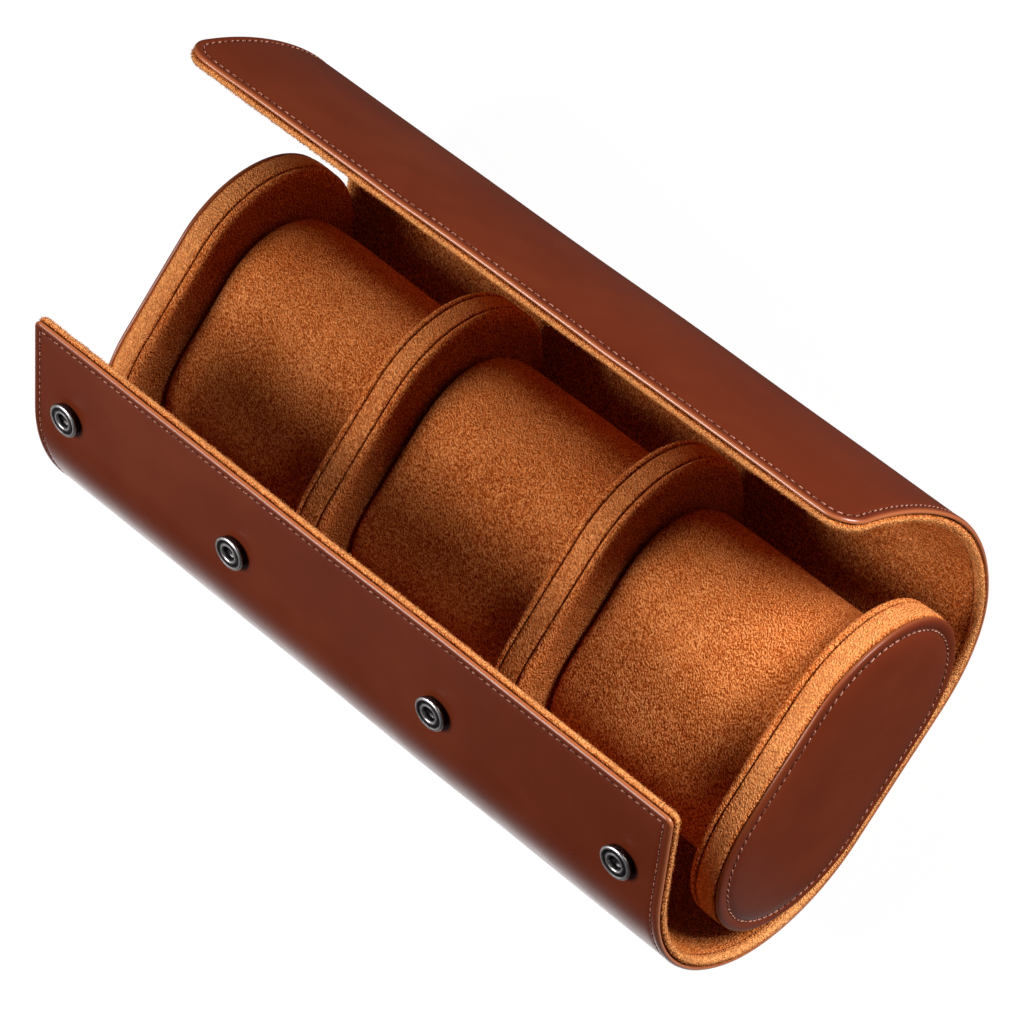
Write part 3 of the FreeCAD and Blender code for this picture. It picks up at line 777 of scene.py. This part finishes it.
for number, (name, (low, high)) in enumerate(cushions["spans"].items()):
    half = np.array(cushions["half"])
    knots = np.concatenate([half + [low, 0, 0], half[-2::-1] * [-1, 1, 1] + [high, 0, 0]])
    line = softLine(knots, cushions["steps"])
    points = ovalPoints(line[:, :2], cushions["run"][name], cushions["middle"], cushions["boxy"])
    points = points + np.array([0.0, cushions["shift"][name], 0.0])
    quads = gridFaces(*points.shape[:-1], closed=True)
    rest, moves = swelling(f"{name}_cushion", points, quads)
    print(name, "cushion swelled by", np.abs(moves).max(0).round(2), "mm over", len(rest), "points")
    points = settled(points, rest, moves)
    outward = (points - [(low + high) / 2, 0.0, cushions["middle"]]) * [0.0, 1.0, 1.0]
    outward /= np.linalg.norm(outward, axis=-1, keepdims=True) + 1e-6
    x, y = points[..., :1], points[..., 1:2]
    long, wide, cross = cushions["waveLengths"]
    wave = np.sin(x / long + y / wide + number) * np.sin(y / cross - number)
    points = points + cushions["wave"] * wave * outward
    piece = newPiece(f"{name}_cushion_pad", [(points, quads, 0, 0.0)], [suedeFinish])
    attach(piece, f"{name}_cushion")
    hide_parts(f"{name}_cushion")
print("cushions made")

# Press snaps: turned profiles of (height, radius, tone) set on the sheet; a rivet's heights run in from the
# outer face
snapShapes = {
    "socket": [
        (-0.3, 3.6, 0), (0.15, 3.9, 0), (0.5, 4.0, 0), (0.9, 4.2, 0), (1.3, 4.33, 0.1), (1.62, 4.28, 0.5),
        (1.86, 4.02, 0.85), (1.9, 3.7, 0.6), (1.8, 3.45, 0.1), (1.78, 2.7, 0.1), (1.88, 2.4, 0.5),
        (1.84, 2.05, 0.75), (1.6, 1.88, 0.5), (1.1, 1.8, 0.1), (0.6, 1.75, 0), (0.3, 1.3, 0), (0.2, 0.0, 0),
    ],
    "rivet": [
        (3.0, 4.0, 0), (3.2, 4.0, 0.1), (3.5, 3.95, 0.3), (3.72, 3.6, 0.4), (3.82, 2.4, 0.3),
        (3.85, 0.0, 0.3),
    ],
    "stud": [
        (-0.4, 3.5, 0), (0.1, 3.55, 0.1), (0.32, 3.3, 0.3), (0.4, 2.6, 0.3), (0.45, 1.4, 0.1),
        (0.6, 1.15, 0), (0.95, 1.2, 0.1), (1.35, 1.5, 0.4), (1.6, 1.42, 0.6), (1.78, 1.0, 0.6),
        (1.84, 0.0, 0.5),
    ],
    "steps": 60, "turn": 40, "studRise": 0.067,
}


def turnedSnaps(shape, side, depth, sign):
    # a profile turned about the sheet's normal at the four places
    line = softLine(snapShapes[shape], snapShapes["steps"])
    angle = np.linspace(0, 2 * np.pi, snapShapes["turn"], endpoint=False)
    run = np.array(snapRun(side))
    normal = sign * sheetNormal(side, run)
    along = np.array([1.0, 0.0, 0.0])
    aside = np.cross(normal, along)
    parts = []
    for place in snaps["places"]:
        centre = sheetPoint(side, np.array(place), run, np.array(depth))
        ring = np.cos(angle)[:, None] * along + np.sin(angle)[:, None] * aside
        points = centre + line[:, 0][:, None, None] * normal + line[:, 1][:, None, None] * ring
        tone = np.broadcast_to(line[:, 2][:, None], points.shape[:-1])
        parts.append((points, gridFaces(*points.shape[:-1], closed=True), 0, tone))
    return parts


studDepth = wrap["total"] + snapShapes["studRise"]
for name, shape, side, depth, sign, body, node in (
    ("snap_socket_rings", "socket", "front", 0.0, 1.0, "front_flap", ["snap_sockets"]),
    ("snap_rivet_heads", "rivet", "front", 0.0, -1.0, "front_flap", ["snap_socket_rivets"]),
    ("snap_stud_knobs", "stud", "lid", studDepth, -1.0, "lid_end", ["snap_studs", "snap_stud_anchors"]),
):
    piece = newPiece(name, turnedSnaps(shape, side, depth, sign), [gunmetalFinish])
    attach(piece, body)
    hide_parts(*node)
print("snaps made")

# White table under studio light. The camera sees it white with a pale shadow. Gloss sees a white strip in
# front of the roll and dark table elsewhere, as black flags round a white card would leave it. The strip is a
# product of fades: axis, start and end in mm, and the shares there.
stage = {
    "white": "#FFFFFF", "fill": 0.025, "gloss": 0.03, "shadow": 0.15, "glow": 1.12, "card": 0.35,
    "size": 520.0, "drop": 1e-4, "stripGlow": 2.0, "flagGlow": 0.06,
    "strip": (("Y", -30.0, -55.0, 0.0, 1.0), ("Y", -85.0, -135.0, 1.0, 0.0), ("X", 92.0, 104.0, 1.0, 0.15)),
}
corners = np.array([[-1, -1], [1, -1], [1, 1], [-1, 1]]) * stage["size"] / 2
ground = np.column_stack([corners, np.full(len(corners), -stage["drop"])])
table = newPiece("table", [(ground, np.array([[0, 1, 2, 3]]), 0, 0.0)], [])
tableFinish, tree, place = newFinish("whiteTable")
ray = addNode(tree, "ShaderNodeLightPath").outputs
spot = addNode(tree, "ShaderNodeSeparateXYZ", Vector=place).outputs
strip = stage["stripGlow"]
for axis, start, end, low, high in stage["strip"]:
    strip = addMath(tree, "MULTIPLY", addRange(tree, spot[axis], (start * mm, end * mm), (low, high)), strip)
flag = addMath(tree, "ADD", strip, stage["flagGlow"])
card = addNode(tree, "ShaderNodeBsdfDiffuse", Color=(stage["card"],) * 3 + (1.0,))
mirrored = addNode(tree, "ShaderNodeEmission", Color=linear(stage["white"]), Strength=flag)
glow = addNode(tree, "ShaderNodeEmission", Color=linear(stage["white"]), Strength=stage["glow"])
lit = addNode(tree, "ShaderNodeMixShader", i0=ray["Is Glossy Ray"], i1=card.outputs[0],
              i2=mirrored.outputs[0])
share = addMath(tree, "MULTIPLY", ray["Is Camera Ray"], 1 - stage["shadow"])
both = addNode(tree, "ShaderNodeMixShader", i0=share, i1=lit.outputs[0], i2=glow.outputs[0])
addNode(tree, "ShaderNodeOutputMaterial", Surface=both.outputs[0])
table.data.materials.append(tableFinish)

# World: white to the camera, nearly dark to gloss, a faint fill for the rest
world = bpy.data.worlds.new("studio")
bpy.context.scene.world = world
world.use_nodes = True
tree = world.node_tree
tree.nodes.clear()
ray = addNode(tree, "ShaderNodeLightPath").outputs
seen = addMath(tree, "MAXIMUM", ray["Is Camera Ray"], ray["Is Glossy Ray"])
seen = addMath(tree, "MAXIMUM", seen, ray["Is Transmission Ray"])
bright = addRange(tree, ray["Is Camera Ray"], (0.0, 1.0), (stage["gloss"], 1.0))
level = addMix(tree, seen, stage["fill"], bright)
sky = addNode(tree, "ShaderNodeBackground", Color=linear(stage["white"]), Strength=level)
addNode(tree, "ShaderNodeOutputWorld", Surface=sky.outputs[0])


def standing(place, right, up, back):
    # where a lamp or the camera stands and how it is turned
    turn = np.eye(4)
    turn[:3, :3] = np.stack([right, up, back], 1)
    turn[:3, 3] = np.array(place) * mm
    return Matrix(turn.tolist())


# Soft boxes: place, aim, size in mm and power in watts
softBoxes = {
    "keyBox": ((-370.0, -320.0, 880.0), (0.0, 0.0, 40.0), 460.0, 12.8),
    "sideBox": ((600.0, 700.0, 350.0), (0.0, 0.0, 30.0), 450.0, 19.0),
    "frontCard": ((-520.0, -780.0, 250.0), (0.0, 0.0, 60.0), 500.0, 0.45),
}
for name, (place, aim, width, power) in softBoxes.items():
    lamp = bpy.data.lights.new(name, "AREA")
    lamp.shape = "SQUARE"
    lamp.size = width * mm
    lamp.energy = power
    holder = bpy.data.objects.new(name, lamp)
    back = np.array(place) - np.array(aim)
    back /= np.linalg.norm(back)
    right = np.cross([0.0, 0.0, 1.0], back)
    right /= np.linalg.norm(right)
    holder.matrix_world = standing(place, right, np.cross(back, right), back)
    bpy.context.scene.collection.objects.link(holder)

# Camera: long lens, above the right end and turned so that the roll lies corner to corner
view = {
    "place": (449.80, 189.95, 901.0), "lens": 153.2, "sensor": 36.0, "clip": (0.01, 20.0),
    "right": (0.70913, 0.51654, -0.47991), "up": (-0.54010, 0.83550, 0.10120),
    "back": (0.45324, 0.18744, 0.87146),
}
camera = bpy.data.objects.new("photoView", bpy.data.cameras.new("photoView"))
camera.data.lens = view["lens"]
camera.data.sensor_width = view["sensor"]
camera.data.clip_start, camera.data.clip_end = view["clip"]
camera.matrix_world = standing(view["place"], view["right"], view["up"], view["back"])
bpy.context.scene.collection.objects.link(camera)
bpy.context.scene.camera = camera
bpy.context.scene.view_settings.view_transform = "Standard"

print("scene ready")
